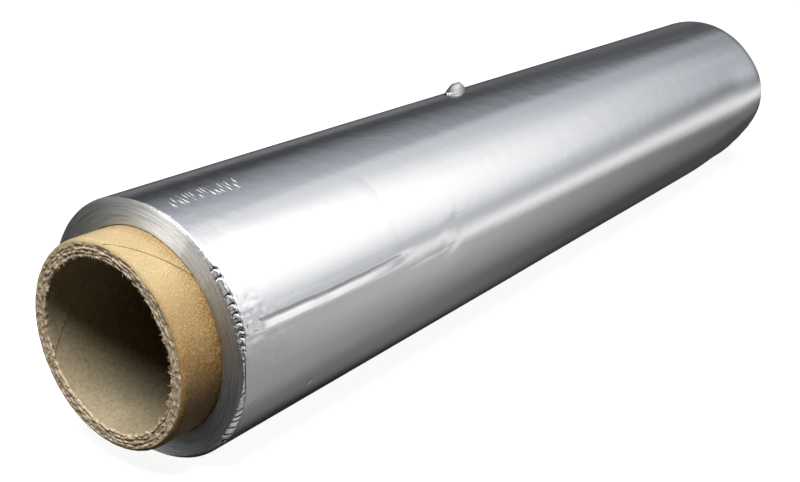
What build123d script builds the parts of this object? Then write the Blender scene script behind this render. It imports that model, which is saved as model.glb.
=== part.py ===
from build123d import *
import os
from math import cos, radians, sin, sqrt

# Aluminium foil roll, lying on its side. Millimetres and degrees.
# +X runs along the roll from the near end, +Z is up, and the origin is on the
# floor under the middle. Angles round the roll are seen along -X: 90 is its top
# and 180 its front, -Y.

# The spiral-wound cardboard tube
core_bore = 38.6
core_wall = 3.9
core_standout = 10.2
core_edge_round = 1.1
core_mouth_chamfer = 0.4
ply_count = 3
ply_line_width = 0.2
ply_line_depth = 0.3

# The seam between two turns of the tube's outer ply
seam_advance_per_turn = 90.0
seam_angle = 135.0
seam_width = 0.4
seam_depth = 0.25

# The wound sheet
foil_width = 300.0
wound_thickness = 6.2
rest_flat_width = 9.0

# The sheet's free edge, which stands a little off the turn below it
edge_angle = 163.3
edge_lift = 0.25

# The turns that show as a spiral line in both end faces
turn_count = 5
turn_line_width = 0.2
turn_line_depth = 0.3
turn_land = 0.9

# The near rim, whose outer turns the cutter crushed inwards to a low crown
rim_length = 1.7
rim_depth = 0.9
rim_crown = 0.2
pleat_length = 1.5
pleat_width = 0.8
pleat_reach = 1.4
front_pleat_count = 9
front_pleat_angles = (138.6, 169.8)
lower_pleat_count = 5
lower_pleat_angles = (193.5, 218.1)

# The far rim, which is only rounded over
far_rim_length = 1.8
far_rim_depth = 1.6
far_rim_crown = 0.3

# A pinch of foil that stands up on top of the roll, and its centre
pinch_angle = 86.0
pinch_from_near_end = 124.0
pinch_near_length = 6.0
pinch_far_length = 3.0
pinch_height = 2.0

# How far a cutting shape runs past what it cuts
overrun = 1.0

bore_radius = core_bore / 2
core_radius = bore_radius + core_wall
foil_radius = core_radius + wound_thickness
under_radius = foil_radius - edge_lift
axis_height = sqrt(under_radius**2 - (rest_flat_width / 2) ** 2)
near_x = -foil_width / 2
far_x = foil_width / 2
core_length = foil_width + 2 * core_standout
roll_axis = Axis((0, 0, axis_height), (1, 0, 0))


def cross_plane(x, angle=0.0):
    """The plane across the roll at x, with its own X axis at an angle round the roll."""
    across = (0, cos(radians(angle)), sin(radians(angle)))
    return Plane(origin=(x, 0, axis_height), x_dir=across, z_dir=(1, 0, 0))


def side_plane(angle=90.0):
    """The plane through the roll's axis: its own X is along it, its Y outwards."""
    outwards = (0, cos(radians(angle)), sin(radians(angle)))
    return Plane(
        origin=(0, 0, axis_height),
        x_dir=(1, 0, 0),
        z_dir=Vector(1, 0, 0).cross(Vector(*outwards)),
    )


def spiral(first_radius, pitch, turns):
    """Add half circles on two centres, each half a pitch wider than the last."""
    for half in range(2 * turns):
        odd = half % 2
        CenterArc((odd * pitch / 2, 0), first_radius + half * pitch / 2, odd * 180, 180)


def turn_line(x):
    """Sketch the line between the wound turns in the end face at x."""
    first = core_radius + turn_land
    last = under_radius - rim_depth - turn_land
    pitch = (last - first) / turn_count
    with BuildSketch(cross_plane(x, edge_angle)) as line:
        with BuildLine():
            spiral(first, pitch, turn_count)
            spiral(first + turn_line_width, pitch, turn_count)
            Line((first, 0), (first + turn_line_width, 0))
            Line((last, 0), (last + turn_line_width, 0))
        make_face()
    return line.sketch


def rim_waste(end_x, inwards, length, depth, crown):
    """Sketch what is missing outside a crowned rim, as a section to be turned."""
    with BuildSketch(side_plane()) as waste:
        with BuildLine():
            inner = (end_x, foil_radius - depth)
            foot = (end_x + inwards * length, foil_radius)
            SagittaArc(inner, foot, inwards * crown)
            Polyline(
                foot,
                (foot[0], foil_radius + overrun),
                (end_x - inwards * overrun, foil_radius + overrun),
                (end_x - inwards * overrun, inner[1]),
                inner,
            )
        make_face()
    return waste.sketch


def seam_path(first_x):
    """The line of the outer ply's seam, from first_x past the tube's bare end."""
    angle = seam_angle + 360 * (first_x - near_x) / seam_advance_per_turn
    helix = Helix(seam_advance_per_turn, core_standout + overrun, core_radius)
    return cross_plane(first_x, angle).location * helix


near_seam = seam_path(near_x - core_standout - overrun)
far_seam = seam_path(far_x)

# The foil: a wound sheet is one solid, with its free edge as a step
with BuildPart() as foil:
    with BuildSketch(cross_plane(near_x, edge_angle)):
        with BuildLine():
            spiral(under_radius, edge_lift, 1)
            Line((under_radius, 0), (foil_radius, 0))
        make_face()
    extrude(amount=foil_width)

    # The pinch is turned about a line in the surface, so half of it is sunk
    with BuildSketch(side_plane(pinch_angle)):
        with BuildLine():
            top = (near_x + pinch_from_near_end, foil_radius + pinch_height)
            start = (top[0] - pinch_near_length, foil_radius)
            end = (top[0] + pinch_far_length, foil_radius)
            TangentArc(top, start, tangent=(-1, 0))
            TangentArc(top, end, tangent=(1, 0))
            Line(start, end)
        make_face()
    revolve(axis=Axis(side_plane(pinch_angle).from_local_coords((0, foil_radius)), (1, 0, 0)))

    # Both rims are turned down to their crowns
    for waste in (
        rim_waste(near_x, 1, rim_length, rim_depth, rim_crown),
        rim_waste(far_x, -1, far_rim_length, far_rim_depth, far_rim_crown),
    ):
        revolve(waste, axis=roll_axis, mode=Mode.SUBTRACT)

    # The pleats between the near rim's tabs
    for count, (first, last) in (
        (front_pleat_count, front_pleat_angles),
        (lower_pleat_count, lower_pleat_angles),
    ):
        with BuildSketch(cross_plane(near_x)):
            with PolarLocations(foil_radius, count, first, last - first, endpoint=True):
                Polygon(
                    (-pleat_reach, 0),
                    (0, -pleat_width / 2),
                    (overrun, -pleat_width / 2),
                    (overrun, pleat_width / 2),
                    (0, pleat_width / 2),
                    align=None,
                )
        extrude(amount=pleat_length, mode=Mode.SUBTRACT)

    # The turns' line in both end faces, and the hole that the tube fills
    extrude(turn_line(near_x), amount=turn_line_depth, mode=Mode.SUBTRACT)
    extrude(turn_line(far_x), amount=-turn_line_depth, mode=Mode.SUBTRACT)
    with BuildSketch(cross_plane(near_x - overrun)):
        Circle(core_radius)
    extrude(amount=foil_width + 2 * overrun, mode=Mode.SUBTRACT)

    # The soft roll settles on a narrow flat
    split(bisect_by=Plane.XY, keep=Keep.TOP)

# The tube: plies of board wound on a slant and cut off square
with BuildPart() as cardboard_core:
    with BuildSketch(cross_plane(-core_length / 2)):
        Circle(core_radius)
        Circle(bore_radius, mode=Mode.SUBTRACT)
    extrude(amount=core_length)
    rims = cardboard_core.edges().filter_by(GeomType.CIRCLE)
    fillet(rims.filter_by(lambda rim: rim.radius > bore_radius), radius=core_edge_round)
    chamfer(rims.filter_by(lambda rim: rim.radius <= bore_radius), length=core_mouth_chamfer)

    # The lines between the plies in the cut ends
    first_ply = bore_radius + core_mouth_chamfer
    ply_pitch = (core_radius - core_edge_round - first_ply) / ply_count
    for end_x, inwards in ((-core_length / 2, 1), (core_length / 2, -1)):
        with BuildSketch(cross_plane(end_x)):
            for ply in range(1, ply_count):
                Circle(first_ply + ply * ply_pitch + ply_line_width / 2)
                Circle(first_ply + ply * ply_pitch - ply_line_width / 2, mode=Mode.SUBTRACT)
        extrude(amount=inwards * ply_line_depth, mode=Mode.SUBTRACT)

    # The outer ply's seam winds round each end that stands out
    for seam in (near_seam, far_seam):
        with BuildSketch(Plane(origin=seam @ 0, x_dir=(1, 0, 0), z_dir=seam % 0)):
            Rectangle(seam_width, 2 * seam_depth)
        sweep(path=seam, is_frenet=True, mode=Mode.SUBTRACT)

foil.part.label = "foil"
cardboard_core.part.label = "cardboard_core"

os.makedirs("parts", exist_ok=True)
for piece in (foil.part, cardboard_core.part):
    export_step(piece, f"parts/{piece.label}.step")
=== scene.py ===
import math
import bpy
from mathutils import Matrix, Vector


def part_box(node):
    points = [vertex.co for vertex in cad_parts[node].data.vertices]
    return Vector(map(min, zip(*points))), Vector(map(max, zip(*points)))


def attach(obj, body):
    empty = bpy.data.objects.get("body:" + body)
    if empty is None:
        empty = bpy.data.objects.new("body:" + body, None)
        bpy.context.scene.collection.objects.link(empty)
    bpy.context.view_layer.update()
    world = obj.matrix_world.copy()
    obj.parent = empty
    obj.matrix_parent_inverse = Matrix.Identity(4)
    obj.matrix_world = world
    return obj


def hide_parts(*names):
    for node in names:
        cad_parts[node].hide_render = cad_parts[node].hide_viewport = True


bl_info = {
    "name": "Foil Roll",
    "version": (1, 0, 0),
    "blender": (4, 5, 0),
    "location": "View3D > Sidebar > Foil Roll",
    "description": "Dresses a roll of aluminium foil on its cardboard tube, and sets up its studio",
    "category": "Object",
}

import bpy
import numpy as np
from bpy.props import FloatProperty, FloatVectorProperty, IntProperty, PointerProperty
from mathutils import Vector

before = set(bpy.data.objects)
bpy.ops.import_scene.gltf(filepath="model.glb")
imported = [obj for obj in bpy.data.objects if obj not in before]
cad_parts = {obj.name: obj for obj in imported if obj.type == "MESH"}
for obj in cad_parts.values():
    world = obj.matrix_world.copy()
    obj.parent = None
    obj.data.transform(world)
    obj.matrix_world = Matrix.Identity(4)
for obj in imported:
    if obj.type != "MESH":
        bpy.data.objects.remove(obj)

# The frame's own sizes in metres
FOIL_LOW, FOIL_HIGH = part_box("foil")
TUBE_LOW, TUBE_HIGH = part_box("cardboard_core")
AXIS_HEIGHT = (TUBE_LOW.z + TUBE_HIGH.z) / 2
NEAR_X, FAR_X = FOIL_LOW.x, FOIL_HIGH.x
MM = 0.001

# The same in millimetres, and the bore's radius
WIDTH = (FAR_X - NEAR_X) / MM
STANDOUT = (NEAR_X - TUBE_LOW.x) / MM
TUBE_RADIUS = (TUBE_HIGH.z - TUBE_LOW.z) / 2 / MM
BORE_RADIUS = 19.3

# The radii at which degrees round the skin and the tube's wall are turned into millimetres
ARC_RADIUS = 29.3
TUBE_ARC_RADIUS = 21.0

# Places on the roll are (millimetres from the near end, degrees round the axis), where 90 is the
# top and 180 the front
FRONT_SLITS = (138.6, 142.4, 150.1, 154.0, 157.9, 161.8, 165.0, 167.7, 171.0, 173.8)
LOWER_SLITS = (193.5, 201.6, 205.3, 208.5, 212.9, 218.1, 223.0, 229.5)
BUCKLE_LINE = ((78.6, 154.0), (76.9, 157.5), (75.4, 160.2), (75.6, 169.0), (74.3, 171.7), (71.0, 174.0))
BUCKLE_TAIL = ((75.5, 165.0), (70.0, 174.0), (64.0, 184.0), (60.0, 196.0))
PINCH_PLACE = (128.2, 80.0)
FOLD_MIDDLE = (126.0, 82.3)
DENT_PLACE = (23.0, 207.6)
DENT_LIP_PLACE = (24.2, 206.2)
SLIT_PLACE = (5.4, 187)
WRINKLE_ROW = ((4.3, 103.0), (23.0, 104.0))

# How the free edge wanders: millimetres from the near end, degrees
EDGE_WANDER = (
    (5.0, 0.3),
    (10.0, 0.8),
    (20.0, 1.5),
    (30.0, 2.1),
    (40.0, 2.0),
    (50.0, 1.6),
    (60.0, 0.6),
    (75.0, 0.1),
)

# The hollow beside the free edge: millimetres below the edge, shares of its depth
SHARP_HOLLOW = (
    (-2.8, 0.0),
    (-1.15, 0.14),
    (-0.9, 0.12),
    (-0.05, -0.95),
    (0.25, -1.0),
    (1.75, 0.15),
    (3.2, 0.0),
)
GENTLE_HOLLOW = ((-2.6, 0.0), (-0.2, -0.14), (3.8, -0.60), (10.0, 0.0))

# The near rim: degrees round the roll, then its crushed part's length and the end face's radius
RIM_PLACES = (
    (80, 0.5, 29.25),
    (97, 0.5, 29.20),
    (110, 0.6, 29.15),
    (121, 0.6, 29.10),
    (131, 0.8, 29.00),
    (140, 1.4, 28.90),
    (152, 1.5, 28.75),
    (162, 1.7, 28.65),
    (168, 1.6, 28.75),
    (176, 0.8, 28.80),
    (186, 0.5, 28.90),
    (197, 0.9, 28.60),
    (212, 1.35, 28.20),
    (224, 1.4, 28.15),
    (238, 1.0, 28.45),
    (300, 0.5, 29.10),
    (440, 0.5, 29.25),
)

# The tube's seams run this many degrees round for each millimetre along
SEAM_TWIST = 4.0
OUTER_SEAM = 94.0
INNER_SEAM = 337.0
PLY_THICKNESS = 0.78

# The camera and the lamp, in metres
CAMERA_FROM_NEAR_END = (-0.13689, -0.16746, 0.09564)
CAMERA_DIRECTION = (0.7594, 0.5554, -0.3390)
LAMP_PLACE = (-0.39, -0.22, 0.95)
LAMP_AIM = (-0.14, 0.0, 0.03)
LAMP_SIDE = 0.5
FLOOR_REACH = 6.0
TENT_RADIUS = 8.0

# What the metal sees of the studio: soft cards (azimuth from, to, height from, to, softness
# round, softness up, level), in degrees from +X towards +Y and above the floor
LIGHT_CARDS = (
    ("front softbox", -80, -17, 4.7, 62, 36, 17, 0.78),
    ("its bright middle", -80, -29, -20, 70, 22, 23, 0.16),
    ("its inner edge", -80, 7.9, 17, 80, 10, 19, 0.27),
    ("its lower edge", -80, -36, -3, 9, 8, 6, 0.06),
    ("below it", -80, 0, -0.8, 2.7, 21, 5.5, 0.12),
    ("ceiling", -46, 44, 34, 90, 65, 51, 0.64),
    ("zenith softbox", -181, 181, 58, 95, 1, 12, 1.0),
    ("table edge", -80, 10, -10, -2, 21, 8.8, 0.58),
    ("table edge on the right", -38, 10, -10, -2, 9, 8.8, 0.15),
    ("floor in front", -46, -9, -34, -17, 12, 8, 0.065),
    ("floor in the light", -53, -29, -60, -7, 50, 5, 0.44),
    ("floor beside it", -27, 16.6, -60, -0.3, 28, 2, 0.05),
    ("floor close by", -32, 16, -90, -36, 28, 14, 0.08),
    ("back wall", 1.5, 66, 0.2, 11.2, 8, 21, 0.18),
    ("its lit foot", 36, 60, -6, 8, 8, 5, 0.07),
    ("black flag", 15, 36, 16, 23, 8, 6, -0.032),
    ("left softbox", 140, 172, 2, 60, 20, 14, 2.85),
    ("left wall", 84, 140, -6, 60, 20, 30, 0.26),
    ("camera side", -155, -100, 2, 60, 20, 20, 0.46),
    ("floor behind", 100, 150, -90, -2, 20, 6, 0.05),
    ("floor on the left", -181, -105, -88, -60, 14, 14, 0.50),
    ("its far part", -150, -105, -54, -16, 12, 12, 0.50),
)
SURROUND_LEVEL = 0.014
WHITE = (1.0, 1.0, 1.0, 1.0)


class FoilSizes(bpy.types.PropertyGroup):
    """Sizes of the wound sheet."""

    radius: FloatProperty(
        name="Radius",
        description="Radius of the wound sheet",
        default=0.02934,
        unit="LENGTH",
    )
    far_rim: FloatProperty(
        name="Far rim",
        description="Rounding of the far rim",
        default=0.0018,
        unit="LENGTH",
    )
    slit_depth: FloatProperty(
        name="Slit depth",
        description="Depth of the slits between the crushed rim's tabs",
        default=0.0006,
        precision=4,
        unit="LENGTH",
    )
    edge_angle: FloatProperty(
        name="Edge angle",
        description="Place of the sheet's free edge round the roll",
        default=math.radians(165.1),
        subtype="ANGLE",
    )
    edge_step: FloatProperty(
        name="Edge step",
        description="Depth of the hollow along the free edge",
        default=0.00034,
        precision=5,
        unit="LENGTH",
    )
    edge_lift: FloatProperty(
        name="Edge lift",
        description="How far the free edge springs off the turn below it",
        default=0.00002,
        precision=5,
        unit="LENGTH",
    )
    sheet_thickness: FloatProperty(
        name="Sheet thickness",
        description="Thickness of the outer turn where its edge shows",
        default=0.00003,
        precision=5,
        unit="LENGTH",
    )
    pinch_height: FloatProperty(
        name="Pinch height",
        description="Height of the pinch of foil on top",
        default=0.0026,
        unit="LENGTH",
    )
    seed: IntProperty(
        name="Seed",
        description="Seed of the foil's small creases",
        default=7,
    )


class TubeSizes(bpy.types.PropertyGroup):
    """Sizes of the cardboard tube's finish."""

    edge_round: FloatProperty(
        name="Edge round",
        description="Rounding of the tube's outer edge",
        default=0.0011,
        unit="LENGTH",
    )
    fray: FloatProperty(
        name="Fray",
        description="How ragged the cut ends are",
        default=0.00022,
        precision=5,
        unit="LENGTH",
    )
    seam_depth: FloatProperty(
        name="Seam depth",
        description="Depth of the seams between the plies' turns",
        default=0.00012,
        precision=5,
        unit="LENGTH",
    )
    fibre_count: IntProperty(
        name="Fibres",
        description="Loose fibres on each cut end",
        default=300,
    )
    fibre_length: FloatProperty(
        name="Fibre length",
        description="Length of a loose fibre",
        default=0.0011,
        unit="LENGTH",
    )


class Finishes(bpy.types.PropertyGroup):
    """Colours of the roll's materials."""

    foil: FloatVectorProperty(
        name="Foil",
        description="Colour of the foil's skin",
        subtype="COLOR",
        default=(0.868, 0.871, 0.878),
    )
    turn_edges: FloatVectorProperty(
        name="Turn edges",
        description="Colour of the wound turns' edges in the end faces",
        subtype="COLOR",
        default=(0.80, 0.835, 0.87),
    )
    kraft: FloatVectorProperty(
        name="Kraft",
        description="Colour of the tube's outer paper",
        subtype="COLOR",
        default=(0.65, 0.485, 0.26),
    )
    board: FloatVectorProperty(
        name="Board",
        description="Colour of the grey board inside and in the cut ends",
        subtype="COLOR",
        default=(0.42, 0.35, 0.225),
    )


class Studio(bpy.types.PropertyGroup):
    """The studio's levels."""

    key_power: FloatProperty(
        name="Key",
        description="Power of the overhead softbox",
        default=14.0,
        unit="POWER",
    )
    ambient: FloatProperty(
        name="Ambient",
        description="Level of the light from all round",
        default=0.025,
    )
    lens: FloatProperty(
        name="Lens",
        description="Focal length of the camera",
        default=48.8,
        unit="CAMERA",
    )


# Curves and shapes


def smooth(low, high, value):
    """Nought below low, one above high, and a smooth rise between."""
    share = np.clip((value - low) / (high - low), 0.0, 1.0)
    return share * share * (3.0 - 2.0 * share)


def hump(value, centre, half_width):
    """A smooth hump of height one."""
    return 1.0 - smooth(0.0, half_width, np.abs(value - centre))


def bell(value, width):
    """A bell of height one about nought."""
    return np.exp(-((value / width) ** 2))


def stretch(value, low, high, soft):
    """One between low and high, with soft ends."""
    return smooth(low - soft, low, value) * (1.0 - smooth(high, high + soft, value))


def along_line(value, places):
    """The height at a value of a line through (value, height) places."""
    return np.interp(value, *np.array(places).T)


def spaced(*runs):
    """Positions along runs of (start, end, largest step), without repeats."""
    found = []
    for start, end, step in runs:
        steps = int(math.ceil(abs(end - start) / step))
        found.append(np.linspace(start, end, max(2, steps + 1))[:-1])
    found.append(np.array([runs[-1][1]]))
    return np.concatenate(found)


class Unevenness:
    """Smooth random unevenness over a plane, one lattice cell per unit."""

    def __init__(self, seed, cells=64):
        self.lattice = np.random.default_rng(seed).uniform(-1.0, 1.0, (cells, cells))
        self.cells = cells

    def __call__(self, across, up):
        across, up = np.broadcast_arrays(across, up)
        left, low = np.floor(across).astype(int), np.floor(up).astype(int)
        u, v = across - left, up - low
        u, v = u * u * (3 - 2 * u), v * v * (3 - 2 * v)
        right, high = (left + 1) % self.cells, (low + 1) % self.cells
        left, low = left % self.cells, low % self.cells
        lower = self.lattice[left, low] * (1 - u) + self.lattice[right, low] * u
        upper = self.lattice[left, high] * (1 - u) + self.lattice[right, high] * u
        return lower * (1 - v) + upper * v


def arc_of(angle):
    """Millimetres round the skin for an angle in degrees."""
    return np.radians(angle) * ARC_RADIUS


def from_line(x, angle, line):
    """Distance in millimetres from a line on the skin, its side, and the share along it."""
    arc = arc_of(angle)
    best = np.full(np.broadcast(x, angle).shape, 1e9)
    side = np.zeros_like(best)
    along = np.zeros_like(best)
    points = [(place, arc_of(turn)) for place, turn in line]
    for count, (first, last) in enumerate(zip(points, points[1:])):
        dx, da = last[0] - first[0], last[1] - first[1]
        square = dx * dx + da * da
        share = np.clip(((x - first[0]) * dx + (arc - first[1]) * da) / square, 0, 1)
        away = np.hypot(x - first[0] - share * dx, arc - first[1] - share * da)
        turn = (x - first[0]) * da - (arc - first[1]) * dx
        nearer = away < best
        side = np.where(nearer, np.sign(turn), side)
        along = np.where(nearer, (count + share) / (len(points) - 1), along)
        best = np.where(nearer, away, best)
    return best, side, along


def on_roll(x, angle, radius):
    """Points in metres from millimetres along the roll, degrees round it and radius in millimetres."""
    turn = np.radians(angle)
    x, y, z = np.broadcast_arrays(x, radius * np.cos(turn), radius * np.sin(turn))
    points = np.stack((x, y, z), -1) * MM + np.array((NEAR_X, 0.0, AXIS_HEIGHT))
    # the roll lies flat on the floor
    points[..., 2] = np.maximum(points[..., 2], 0.0)
    return points


def ring_faces(rings, columns, joined=True):
    """Faces of closed rings one after another; joined rings also close from the last to the first."""
    ring, column = np.meshgrid(np.arange(rings if joined else rings - 1), np.arange(columns), indexing="ij")
    after, beside = (ring + 1) % rings, (column + 1) % columns
    corners = (
        ring * columns + column,
        ring * columns + beside,
        after * columns + beside,
        after * columns + column,
    )
    return np.stack(corners, -1).reshape(-1, 4)


def make_object(name, points, faces, finishes, face_finish=None):
    """A mesh of four-cornered faces, with the number of each face's finish."""
    mesh = bpy.data.meshes.new(name)
    mesh.vertices.add(len(points))
    mesh.vertices.foreach_set("co", np.asarray(points, np.float32).ravel())
    corners = np.asarray(faces, np.int32)
    mesh.loops.add(corners.size)
    mesh.loops.foreach_set("vertex_index", corners.ravel())
    mesh.polygons.add(len(corners))
    mesh.polygons.foreach_set("loop_start", np.arange(0, corners.size, corners.shape[1], dtype=np.int32))
    if face_finish is not None:
        mesh.polygons.foreach_set("material_index", np.asarray(face_finish, np.int32))
    mesh.polygons.foreach_set("use_smooth", np.full(len(corners), True))
    mesh.update(calc_edges=True)
    mesh.validate()
    for finish in finishes:
        mesh.materials.append(finish)
    made = bpy.data.objects.new(name, mesh)
    bpy.context.scene.collection.objects.link(made)
    return made


def finish_piece(piece, slot, *replaced):
    """Give a finished piece its body, and hide the nodes that it stands for; the slot is not used."""
    if not piece.data.polygons:
        raise RuntimeError(f"{piece.name} came out empty")
    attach(piece, "root")
    if replaced:
        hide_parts(*replaced)


def grow_piece(name, slot, tree, values, spots=()):
    """Make a piece with geometry nodes, from spots or from nothing, and keep it as a plain mesh."""
    start = bpy.data.meshes.new(name)
    start.from_pydata([tuple(spot) for spot in spots], [], [])
    piece = bpy.data.objects.new(name, start)
    bpy.context.scene.collection.objects.link(piece)
    modifier = piece.modifiers.new(tree.name, "NODES")
    modifier.node_group = tree
    for item in tree.interface.items_tree:
        if item.item_type == "SOCKET" and item.in_out == "INPUT" and item.name in values:
            modifier[item.identifier] = values[item.name]
    graph = bpy.context.evaluated_depsgraph_get()
    mesh = bpy.data.meshes.new_from_object(piece.evaluated_get(graph), depsgraph=graph)
    piece.modifiers.clear()
    piece.data = mesh
    bpy.data.meshes.remove(start)
    mesh.name = name
    mesh.polygons.foreach_set("use_smooth", np.full(len(mesh.polygons), True))
    finish_piece(piece, slot)


# The foil's shape


def foil_waves(x, angle, seed):
    """Slight waves that the winding leaves in the skin, in millimetres."""
    arc = arc_of(angle)
    coarse, middle, fine = Unevenness(seed), Unevenness(seed + 1), Unevenness(seed + 2)
    waves = 0.050 * coarse(x / 55.0, arc / 15.0 + 9)
    waves = waves + 0.014 * middle(x / 70.0 + 5, arc / 5.0)
    return waves + 0.0035 * fine(x / 45.0, arc / 1.7 + 3)


def edge_line(x, sizes):
    """The angle of the sheet's free edge at x, with its small nicks."""
    nicks = Unevenness(sizes.seed + 11)
    corner = 1.7 * (1.0 - smooth(0.4, 2.8, x)) - 1.7 * hump(x, 5.2, 1.7)
    corner = corner + along_line(x, EDGE_WANDER)
    ragged = 0.16 * nicks(x / 1.3, 0.0) + 0.22 * nicks(x / 4.1, 7.0)
    return math.degrees(sizes.edge_angle) + corner + ragged * stretch(x, 1.0, 86.0, 4.0)


def edge_hollow(x, angle, sizes):
    """The hollow that the outer turn's lip dips into, and that the turn below it rises out of."""
    below = ((angle - edge_line(x, sizes) + 180.0) % 360.0 - 180.0) * math.radians(ARC_RADIUS)
    faded = smooth(46.0, 60.0, x)
    hollow = along_line(below, SHARP_HOLLOW) * (1.0 - faded) + along_line(below, GENTLE_HOLLOW) * faded
    uneven = Unevenness(sizes.seed + 13)
    open_way = smooth(3.5, 9.0, x) * (1.0 - 0.2 * smooth(30.0, 50.0, x)) * (1.0 - smooth(72.0, 80.0, x))
    nearly = 0.2 * uneven(x / 3.4, 0.0) * smooth(50.0, 60.0, x) + 0.12 * uneven(x / 5.0, 4.0)
    return sizes.edge_step / MM * hollow * open_way * (1.0 + nearly)


def buckle(x, angle):
    """The slight buckle where the free edge stops standing off."""
    away, side, along = from_line(x, angle, BUCKLE_LINE)
    ends = np.sin(np.pi * np.clip(along, 0.04, 0.96)) ** 0.5
    crease = 0.036 * np.exp(-away / 0.9) - 0.060 * bell(away - 1.3, 1.0) * (side > 0)
    away, side, along = from_line(x, angle, BUCKLE_TAIL)
    tail = 0.03 * bell(away - 4.0, 2.4) * (side < 0) * (1.0 - along)
    return crease * ends + tail - 0.045 * bell(away, 3.0) * (1.0 - along) ** 0.7


def pinch(x, angle, sizes):
    """The pinch of foil that stands up on top, gentle towards the near end."""
    near_length, far_length, half_width = 6.6, 2.9, 1.8
    along = x - PINCH_PLACE[0]
    across = (angle - PINCH_PLACE[1]) * math.radians(ARC_RADIUS)
    share = np.where(along < 0, along / near_length, along / far_length)
    lump = np.clip(1.0 - share**2 - (across / half_width) ** 2, 0.0, 1.0) ** 0.72
    notch = 0.12 * hump(along, 1.5, 0.9) * hump(across, 0.6, 1.6)
    folds = 0.03 * np.sin(along * 1.7 + across * 1.9) + 0.02 * np.sin(across * 3.1 - along)
    skirt = -0.015 * np.exp(-((np.hypot(along / 7.0, across / 3.4) - 1.0) ** 2) / 0.05)
    return sizes.pinch_height / MM * lump * (1.0 + folds - notch) + skirt


def dents(x, angle, sizes):
    """The small marks near the near end."""
    arc = arc_of(angle)

    def away(place):
        return np.hypot(x - place[0], arc - arc_of(place[1]))

    dent = 0.06 * bell(away(DENT_LIP_PLACE), 0.8) - 0.20 * bell(away(DENT_PLACE), 0.9)
    slit_x, slit_arc = SLIT_PLACE[0], arc_of(SLIT_PLACE[1])
    slit = -0.22 * bell(x - slit_x + 0.3 * (arc - slit_arc), 0.14) * hump(arc, slit_arc, 1.1)
    small, sharp = Unevenness(sizes.seed + 21), Unevenness(sizes.seed + 22)
    crush = stretch(x, 0.0, 5.5, 3.5) * stretch(angle, 151.0, 166.0, 5.0)
    facets = 0.10 * np.abs(small(x / 1.7, arc / 1.5)) + 0.05 * sharp(x / 0.8, arc / 0.7)
    scuffed = stretch(x, 0.0, 9.0, 6.0) * stretch(angle, 148.0, 202.0, 8.0)
    scuffs = 0.018 * sharp(x / 0.9, arc / 1.3) * scuffed
    return dent + slit + crush * facets + scuffs


def far_end(x, angle):
    """The last few centimetres, a little proud at the front and flatter under it."""
    proud = 0.9 * hump(angle, 168.0, 32.0) * smooth(268.0, 300.0, x)
    return proud - 1.7 * hump(angle, 218.0, 36.0) * smooth(258.0, 300.0, x)


def skin_radius(x, angle, sizes):
    """Radius of the skin in millimetres."""
    out = sizes.radius / MM + foil_waves(x, angle, sizes.seed) + edge_hollow(x, angle, sizes)
    return out + buckle(x, angle) + pinch(x, angle, sizes) + dents(x, angle, sizes) + far_end(x, angle)


def rim_places(angle):
    """Length of the crushed rim and radius of the near end face, round the roll."""
    places, lengths, radii = np.array(RIM_PLACES).T
    turn = (angle - places[0]) % 360.0 + places[0]
    return np.interp(turn, places, lengths), np.interp(turn, places, radii)


def rim_cells(share, angle, sizes):
    """How far the crushed rim lies inside its crown, and how much of that is a slit.

    Each cell has a slit at its upper end, a fold that faces up and a flap that slopes away."""
    depth = np.zeros(np.broadcast(share, angle).shape)
    slit = np.zeros_like(depth)
    for slits, fold, flap, arch, lean, wide, deep in (
        (FRONT_SLITS, 0.24, 0.08, 0.9, 0.0, 0.38, 1.0),
        (LOWER_SLITS, 0.0, 0.0, -0.2, -2.2, 0.66, 0.16),
    ):
        for first, last in zip(slits, slits[1:]):
            place = angle - arch * (2.0 * share - 1.0) ** 2 - lean * share - first
            inside = (place >= 0.0) & (place < last - first)
            cut = bell(place, wide)
            rise = fold * (1.0 - smooth(0.2, 2.0, place)) + flap * place / (last - first)
            slit = np.where(inside, cut, slit)
            depth = np.where(inside, sizes.slit_depth / MM * deep * cut + rise, depth)
    band = smooth(-0.35, 0.25, share) * (1.0 - smooth(0.85, 1.0, share))
    return depth * band, slit * band


def skin_places(sizes):
    """Millimetres along the roll of the skin's rings, close where something happens."""
    end = WIDTH - sizes.far_rim / MM - 0.1
    return spaced(
        (0.2, 24.0, 0.58),
        (24.0, 60.0, 2.2),
        (60.0, 90.0, 1.2),
        (90.0, 115.0, 3.3),
        (115.0, 120.4, 1.4),
        (120.4, 131.9, 0.55),
        (131.9, 262.0, 7.5),
        (262.0, end, 4.5),
    )


def foil_rings(sizes):
    """Each ring's zone of the body and its place in it: shares, or millimetres along the skin."""
    zones = (
        ("face", np.concatenate(([0.0], np.linspace(0.035, 1.0, 9)[:-1]))),
        ("rim", np.linspace(0.0, 1.0, 15)),
        ("skin", skin_places(sizes)),
        ("far rim", np.linspace(0.0, 1.0, 8)[1:]),
        ("far face", np.linspace(0.0, 1.0, 7)[1:]),
    )
    return [(zone, place) for zone, places in zones for place in places]


# The numbers of the wound body's finishes
SKIN, EDGES, GAP_SHADE, CRUMPLED = range(4)


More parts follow.
